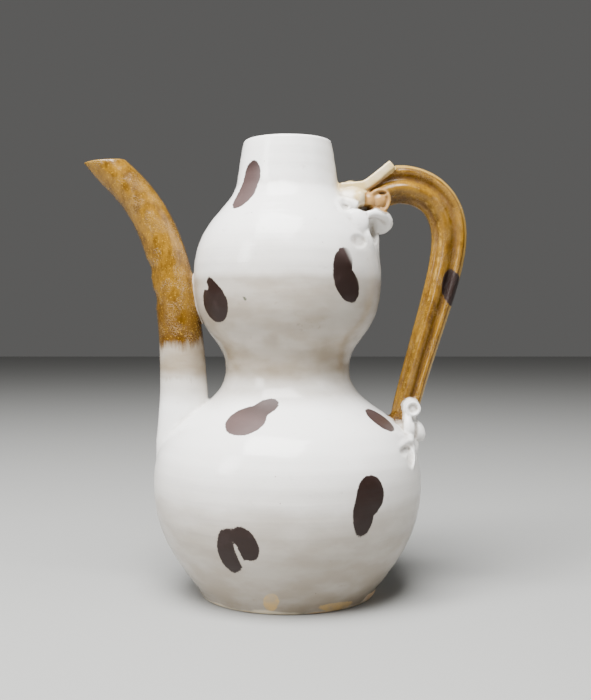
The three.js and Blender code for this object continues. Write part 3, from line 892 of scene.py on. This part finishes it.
GLAZE_ROUGHNESS = 0.16
GLAZE_SPECULAR = 0.36
BARE_ROUGHNESS = 0.75

clay_look.use_nodes = True
nodes = clay_look.node_tree
shader = nodes.nodes["Principled BSDF"]
spot = add(nodes, "ShaderNodeTexCoord").outputs["Object"]
millimetres = add(nodes, "ShaderNodeVectorMath", {"operation": "SCALE"}, _0=spot, Scale=1000.0).outputs[0]
height = add(nodes, "ShaderNodeSeparateXYZ", _0=millimetres).outputs["Z"]


def calc(kind, *values):
    return worked(nodes, kind, *values)


def times(first, second):
    return calc("MULTIPLY", first, second)


def beside(value, middle):
    """How far a value is from a middle"""
    return calc("ABSOLUTE", calc("SUBTRACT", value, middle))


def ramp(value, low, high, start=0.0, end=1.0):
    """From start to end, smoothly, while the value goes from low to high"""
    node = add(nodes, "ShaderNodeMapRange", {"interpolation_type": "SMOOTHSTEP"}, _0=value, _1=low,
               _2=high, _3=start, _4=end)
    return node.outputs[0]


def blend(share, base, top):
    node = add(nodes, "ShaderNodeMix", {"data_type": "RGBA"}, _0=share, _6=base, _7=top)
    return node.outputs[2]


def grain(scale, detail=3.0, stretch=(1, 1, 1), roughness=0.5):
    """Noise from 0 to 1 whose patches are about 1 / scale millimetres"""
    pulled = add(nodes, "ShaderNodeVectorMath", {"operation": "MULTIPLY"}, _0=millimetres, _1=stretch)
    noise = add(nodes, "ShaderNodeTexNoise", {"noise_dimensions": "3D"}, Vector=pulled,
                Scale=scale, Detail=detail, Roughness=roughness)
    return noise.outputs[0]


def kept(name):
    return add(nodes, "ShaderNodeAttribute", {"attribute_name": name}).outputs["Fac"]


# Brown dabs: each is a few touching brush marks, placed by its pixels in the picture and carried on
# to the clay behind them. A mark is given as its column, row, half length and half width in pixels
# and its lean to the right in degrees.
NECK_MARKS = [(251.5, 176, 15.5, 7.4, 9), (245, 193, 18.5, 6.6, 23)]
BULB_LEFT_MARKS = [(213.8, 303.5, 19.5, 11.4, -24), (211.5, 289, 12, 4.8, -18)]
BULB_LEFT_GAP = (204, 284, 6, 2.3, -38)
BULB_RIGHT_MARKS = [(343.5, 263, 16, 9.6, 12), (347.6, 283.5, 20, 11.4, -27)]
SHOULDER_MARKS = [(245.5, 420.5, 18.5, 13.8, 42), (262.5, 408.8, 17, 7.2, 62)]
BY_HANDLE_MARK = (380.5, 419.5, 15, 5, -43)
BELLY_RIGHT_MARKS = [(371, 495.5, 20, 13.6, -3), (363.8, 513.5, 24, 10.4, 4)]
BELLY_LEFT_MARKS = [(229.5, 552, 22.5, 11.3, -12), (244.8, 544.5, 19, 11.6, -30)]
BELLY_LEFT_GAP = (240.2, 558, 14, 2.1, -26)
GREEN_SPECK_MARK = (244.5, 298.5, 2.4, 1.5, -40)
GREY_SMEAR_MARK = (312, 325, 16, 7, 80)
FOOT_PATCH_MARKS = [(271, 602, 8.5, 8, 10), (337, 606.5, 16, 3.6, 82)]
# On the far side a mark is given as degrees from the handle, height, half length and half width in
# millimetres and its lean, and each dab with how far a painted sheen pales it towards its top
BACK_DABS = [
    ([(152, 62, 10, 6, 20), (146, 55, 8, 5, -10)], 0.4),
    ([(95, 120, 9.5, 5.5, -15)], 0.6),
    ([(62, 38, 10, 5.5, 25), (70, 44, 8, 4.5, 60)], 0.0),
    ([(128, 150, 9, 5, 30)], 0.0),
    ([(100, 84, 9, 5, 55)], 0.3),
    ([(40, 134, 8, 5, -35)], 0.3),
    ([(118, 27, 10, 6.5, -12)], 0.0),
    ([(85, 186, 8, 3.4, 18)], 0.5),
]
# The mark on the handle: its middle, its two half sizes as directions, and its depth
HANDLE_MARK = (Vector((72.6, -4.5, 134.4)), Vector((-1.4, 0, 8.4)), Vector((4.7, 0, 0.8)), 6.4)
MARK_DEPTH = 11.0
MARK_SHRINK = 0.92
DAB_EDGE = 0.2
DAB_THIN_EDGE = (-0.6, 0.1)
DAB_THIN_SHARE = 0.2
GAP_MELT = 0.4
# Where a dab that fades at its upper right starts and stops, in shares of its half sizes
FADE_SLANT = 0.7
FADE_REACH = (0.6, 1.4)
pot_skin = BVHTree.FromPolygons(points.tolist(), faces)
eye = Vector((0, -1000 * EYE_DISTANCE, 1000 * EYE_HEIGHT))


def behind(column, row):
    """The point on the clay behind a pixel of the picture, or none beside the pot"""
    ray = Vector((column - AXIS_COLUMN, FOCAL_PIXELS, EYE_ROW - row)).normalized()
    return pot_skin.ray_cast(eye, ray)[0]


def brush_mark(middle, long_way, wide_way, depth):
    """Distance in millimetres to an oval mark, below zero inside it"""
    length, width = long_way.length, wide_way.length
    upward = long_way / length
    out = upward.cross(wide_way).normalized()
    aside = out.cross(upward)
    turn = Matrix((aside, out, upward)).transposed().to_euler()
    placed = add(nodes, "ShaderNodeMapping", {"vector_type": "TEXTURE"}, Vector=millimetres, Location=middle,
                 Rotation=turn, Scale=(width, depth, length))
    reach = add(nodes, "ShaderNodeVectorMath", {"operation": "LENGTH"}, _0=placed.outputs[0]).outputs["Value"]
    return times(calc("SUBTRACT", reach, 1.0), width), placed.outputs[0]


def seen_mark(column, row, half_length, half_width, lean):
    """An oval mark from its middle, half sizes and lean to the right, in pixels of the picture"""
    c, s = math.cos(math.radians(lean)), math.sin(math.radians(lean))
    middle = behind(column, row)
    ways = []
    for size, across, up in ((half_length, s, c), (half_width, c, -s)):
        share = 1.0
        ends = [None, None]
        while None in ends:
            share *= MARK_SHRINK
            ends = [behind(column + k * share * size * across, row - k * share * size * up) for k in (1, -1)]
        ways.append((ends[0] - ends[1]) / 2 / share)
    return brush_mark(middle, ways[0], ways[1], MARK_DEPTH)


def seen(marks):
    return [seen_mark(*mark) for mark in marks]


def turned_mark(turn, rise, half_length, half_width, lean):
    """An oval mark on the far side: degrees from the handle, height, half sizes in millimetres"""
    a = math.radians(turn)
    slope = float(body_radius(rise + 1) - body_radius(rise - 1)) / 2
    aside = Vector((-math.sin(a), math.cos(a), 0))
    up = Vector((slope * math.cos(a), slope * math.sin(a), 1)).normalized()
    c, s = math.cos(math.radians(lean)), math.sin(math.radians(lean))
    radius = float(body_radius(rise))
    middle = Vector((radius * math.cos(a), radius * math.sin(a), rise))
    long_way = half_length * (c * up + s * aside)
    wide_way = half_width * (c * aside - s * up)
    return brush_mark(middle, long_way, wide_way, MARK_DEPTH)


rough_edge = calc("ADD", times(calc("SUBTRACT", grain(0.3), 0.5), 0.9),
                  times(calc("SUBTRACT", grain(1.5, roughness=0.6), 0.5), 0.9))


def dab(marks, gaps=(), paling=0.0, sheen=0.0, fading=0.0, melt=3.0):
    """A dab of iron brown: its share at each point, and how pale it is, from thinning at its edge and a
    painted sheen
    """
    distance = marks[0][0]
    for mark in marks[1:]:
        distance = calc("SMOOTH_MIN", distance, mark[0], melt)
    for gap in gaps:
        distance = calc("SMOOTH_MAX", distance, times(gap[0], -1.0), GAP_MELT)
    distance = calc("ADD", distance, rough_edge)
    share = ramp(distance, DAB_EDGE, -DAB_EDGE)
    upward = add(nodes, "ShaderNodeSeparateXYZ", _0=marks[0][1]).outputs["Z"]
    if fading:
        rightward = add(nodes, "ShaderNodeSeparateXYZ", _0=marks[0][1]).outputs["X"]
        top_right = calc("MULTIPLY_ADD", rightward, FADE_SLANT, upward)
        share = times(share, ramp(top_right, *FADE_REACH, 1.0, 1.0 - fading))
    # Painted sheen: the lamps' reflection on the glossy brown as a paler brown, sheen up to the dab's middle
    # and changing to paling at its top
    pale = ramp(upward, 0.0, 1.0, sheen, paling) if paling else sheen
    thin = calc("MAXIMUM", pale, ramp(distance, *DAB_THIN_EDGE, 0.0, DAB_THIN_SHARE))
    return share, times(thin, share)


# sheen and paling paint the lamps' reflection on a dab as a paler brown
dabs = [
    dab(seen(NECK_MARKS), paling=0.25, sheen=0.9),
    dab(seen(BULB_LEFT_MARKS), seen([BULB_LEFT_GAP])),
    dab(seen(BULB_RIGHT_MARKS), paling=0.5, fading=0.9, melt=2.0),
    dab(seen(SHOULDER_MARKS), paling=0.45, sheen=0.95),
    dab(seen([BY_HANDLE_MARK]), paling=0.8, sheen=0.5),
    dab(seen(BELLY_RIGHT_MARKS), melt=0.9),
    dab(seen(BELLY_LEFT_MARKS), seen([BELLY_LEFT_GAP])),
]
dabs += [dab([turned_mark(*mark) for mark in marks], paling=paling) for marks, paling in BACK_DABS]
dabs.append(dab([brush_mark(*HANDLE_MARK)]))
brown = dabs[0][0]
brown_thin_and_sheen = dabs[0][1]
for share, thin in dabs[1:]:
    brown = calc("MAXIMUM", brown, share)
    brown_thin_and_sheen = calc("MAXIMUM", brown_thin_and_sheen, thin)
brown = times(brown, kept("outer"))

# White glaze, with shade painted on as a warmer grey under each bulb, and a few iron specks and smudges.
# The stops are a share of the ewer's height and how much painted shade lies there.
SHADE_STOPS = ((0.0, 0.9), (0.12, 0.8), (0.215, 0.64), (0.24, 0.36), (0.32, 0.08), (0.41, 0.0), (0.455, 0.5),
              (0.5, 0.95), (0.685, 0.78), (0.71, 0.34), (0.83, 0.0))
shade_height = calc("MULTIPLY_ADD", calc("SUBTRACT", grain(0.045), 0.5), 7.0, height)
painted_shade = add(nodes, "ShaderNodeValToRGB", _0=calc("DIVIDE", shade_height, RIM_HEIGHT))
painted_shade.color_ramp.interpolation = "EASE"
stops = painted_shade.color_ramp.elements
while len(stops) < len(SHADE_STOPS):
    stops.new(0.5)
for stop, (place, share) in zip(stops, SHADE_STOPS):
    stop.position = place
    stop.color = (share, share, share, 1)
cloud = ramp(grain(0.05, 3.0, (1, 1, 2.2)), 0.3, 0.7, 0.82, 1.0)
# Where the honey glaze runs out, on the spout, the handle and beside the knob, the white takes the same
# painted shade
shade_by_honey = ramp(kept("honey"), -HONEY_MOST, -1.5, 0.0, 0.75)
white = blend(times(calc("MAXIMUM", painted_shade.outputs[0], shade_by_honey), cloud), WHITE, UNDER_BULB_SHADE)
specks = add(nodes, "ShaderNodeTexVoronoi", Vector=millimetres, Scale=0.11)
speck = times(ramp(specks.outputs["Distance"], 0.045, 0.02), ramp(grain(0.03), 0.5, 0.6))
smudge = times(ramp(grain(0.16, 5.0, (1, 1, 1.6), 0.65), 0.62, 0.74), 0.16)
white = blend(calc("MAXIMUM", times(speck, 0.7), smudge), white, SPECK)
green_speck = dab(seen([GREEN_SPECK_MARK]))[0]
white = blend(times(green_speck, 0.85), white, GREEN_SPECK)
grey_smear = dab(seen([GREY_SMEAR_MARK]))[0]
faint = times(grey_smear, ramp(grain(0.4, 5.0, roughness=0.7), 0.52, 0.66, 0.0, 0.4))
white = blend(faint, white, GREY_SMEAR)

# Painted shade in the hollows of the clay, a dark brown over the white
crevice = kept("crevice")
edge = kept("edge")
white = blend(times(kept("cream"), ramp(grain(0.12), 0.3, 0.6, 0.75, 1.0)), white, CREAM)
white = blend(times(crevice, ramp(grain(0.4), 0.3, 0.7, 0.3, 0.85)), white, CREVICE_SHADE)

# Honey glaze: thin and pale on the ridges with a painted highlight along the rim and crest, dark in the
# grooves with painted shade in its hollows, finely crazed, and running out in streaks. Across the handle
# the places are shares of its thickness, from its middle outward.
RIM_GROOVE = 0.37
ROLL_GROOVE = -0.12
ROLL_CREST = -0.3
RIM_ROLL = (0.385, 0.43)
# The spout's honey darkens from the first of these heights down to the second
SPOUT_DARKENS = (142.0, 112.0)
streaks = calc("SUBTRACT", grain(0.16, 4.0, (1, 1, 0.2), 0.6), 0.5)
honey_field = calc("ADD", kept("honey"), times(streaks, 1.6))
honey_share = ramp(honey_field, -0.2, 0.4)
roll_place = kept("roll_place")
on_handle_share = kept("on_handle")
depth_share = ramp(grain(0.2, 6.0, (1, 1, 0.5), 0.72), 0.34, 0.64, 0.2, 1.0)
honey = blend(depth_share, HONEY_DARK, HONEY_LIGHT)
spout_low = times(ramp(height, *SPOUT_DARKENS, 0.0, 0.8), calc("SUBTRACT", 1.0, on_handle_share))
honey = blend(spout_low, honey, HONEY_DARK)
honey = blend(kept("scrolled"), honey, CARAMEL)
grains = add(nodes, "ShaderNodeTexVoronoi", {"feature": "DISTANCE_TO_EDGE"}, Vector=millimetres, Scale=1.15)
craze = times(ramp(grains.outputs["Distance"], 0.12, 0.02), ramp(grain(0.12, 2.0), 0.42, 0.62))
honey = blend(times(craze, 0.2), honey, HONEY_PALE)
honey = blend(ramp(grain(1.5, 2.0), 0.6, 0.68, 0.0, 0.6), honey, HONEY_GOLD)
honey = blend(times(edge, 0.3), honey, HONEY_PALE)
# Painted shade in the hollows, together with the honey glaze pooling darker there
honey = blend(times(crevice, 0.6), honey, HONEY_CREVICE_SHADE)
groove = calc("MAXIMUM", ramp(beside(roll_place, RIM_GROOVE), 0.03, 0.0),
              ramp(beside(roll_place, ROLL_GROOVE), 0.1, 0.0, 0.0, 0.5))
honey = blend(times(times(groove, on_handle_share), 0.6), honey, HONEY_DARK)
# The rim roll and the crest line are paler: the glaze worn thin there, and a highlight painted along them
rim_roll = ramp(roll_place, *RIM_ROLL)
crest = times(ramp(beside(roll_place, ROLL_CREST), 0.05, 0.0), ramp(grain(0.5), 0.5, 0.62))
worn_and_highlight = calc("MAXIMUM", times(rim_roll, 0.85), times(crest, 0.6))
honey = blend(times(worn_and_highlight, on_handle_share), honey, HONEY_PALE)
coloured = blend(honey_share, white, honey)

# The brown is darkest where it is thick, reddish where it thins out, and paler where a sheen is painted
brown_colour = blend(calc("ADD", brown_thin_and_sheen, ramp(grain(0.2, 4.0), 0.5, 0.8, 0.0, 0.15)), IRON, IRON_THIN_AND_SHEEN)
coloured = blend(brown, coloured, brown_colour)

# The foot's edge and underside are wiped bare, pale with a few toasted patches
bare_edge = calc("ADD", height, times(calc("SUBTRACT", grain(0.06), 0.5), 6.0))
bare_edge = calc("SUBTRACT", bare_edge, times(ramp(grain(0.035, 1.0), 0.55, 0.7), 3.0))
bare = ramp(bare_edge, 1.6, 0.4)
toast = blend(ramp(grain(0.07, 4.0), 0.45, 0.7), BARE_CLAY, TOASTED_CLAY)
coloured = blend(bare, coloured, toast)
patches = calc("MAXIMUM", *[dab(seen([mark]))[0] for mark in FOOT_PATCH_MARKS])
patches = times(patches, ramp(grain(0.16), 0.35, 0.6, 0.35, 0.9))
coloured = blend(patches, coloured, BUFF_PATCH)
nodes.links.new(coloured, shader.inputs["Base Color"])
gloss = calc("ADD", ramp(grain(0.08), 0.3, 0.7, GLAZE_ROUGHNESS - 0.04, GLAZE_ROUGHNESS + 0.06),
               times(craze, times(honey_share, 0.12)))
gloss = calc("MULTIPLY_ADD", brown, 0.3, gloss)
nodes.links.new(ramp(bare, 0.0, 1.0, gloss, BARE_ROUGHNESS), shader.inputs["Roughness"])
shader.inputs["Specular IOR Level"].default_value = GLAZE_SPECULAR

# Surface: faint turning lines, a slight orange peel, the crazed honey glaze, and dabs a little lower
lines = grain(0.9, 2.0, (0.02, 0.02, 1))
relief = calc("ADD", times(lines, 0.05), times(grain(0.35), 0.06))
relief = calc("ADD", relief, times(times(craze, honey_share), 0.09))
relief = calc("SUBTRACT", relief, times(brown, 0.03))
bump = add(nodes, "ShaderNodeBump", Height=relief, Strength=1.0, Distance=0.001)
nodes.links.new(bump.outputs[0], shader.inputs["Normal"])


# Floor: a plain pale matt sheet, in metres, that the pot stands on. It is part of the studio, not
# of the ewer.
FLOOR_HALF = 3
FLOOR_GREY = (0.31, 0.31, 0.30, 1)
FLOOR_ROUGHNESS = 0.75
floor = put("floor", bpy.data.meshes.new("floor"))
floor_corners = [(FLOOR_HALF * x, FLOOR_HALF * y, 0) for x, y in ((-1, -1), (1, -1), (1, 1), (-1, 1))]
floor.data.from_pydata(floor_corners, [], [(0, 1, 2, 3)])
floor_look = bpy.data.materials.new("pale_floor")
floor_look.use_nodes = True
floor_shader = floor_look.node_tree.nodes["Principled BSDF"]
floor_shader.inputs["Base Color"].default_value = FLOOR_GREY
floor_shader.inputs["Roughness"].default_value = FLOOR_ROUGHNESS
floor.data.materials.append(floor_look)


# Light: a large soft lamp above and in front, a smaller one high on the left and a weak one on the
# right, in a dim room. Each is a rectangle aimed at the middle of the ewer, in metres and watts.
LIT_PLACE = Vector((0, 0, 0.1))
ROOM_LIGHT = (0.92, 0.91, 0.89, 1)
ROOM_STRENGTH = 0.12


def soft_lamp(name, place, size, power):
    lamp = bpy.data.lights.new(name, "AREA")
    lamp.shape = "RECTANGLE"
    lamp.size, lamp.size_y = size
    lamp.energy = power
    holder = put(name, lamp)
    holder.location = place
    aim = LIT_PLACE - Vector(place)
    holder.rotation_euler = aim.to_track_quat("-Z", "Y").to_euler()


soft_lamp("lamp_above", (-0.15, -0.4, 0.95), (0.7, 0.6), 45)
soft_lamp("lamp_left", (-0.95, -0.7, 0.65), (0.3, 0.6), 14)
soft_lamp("lamp_right", (0.9, -0.45, 0.7), (0.35, 0.5), 2)
world = bpy.data.worlds.new("studio")
world.use_nodes = True
room = world.node_tree.nodes["Background"]
room.inputs["Color"].default_value = ROOM_LIGHT
room.inputs["Strength"].default_value = ROOM_STRENGTH
bpy.context.scene.world = world
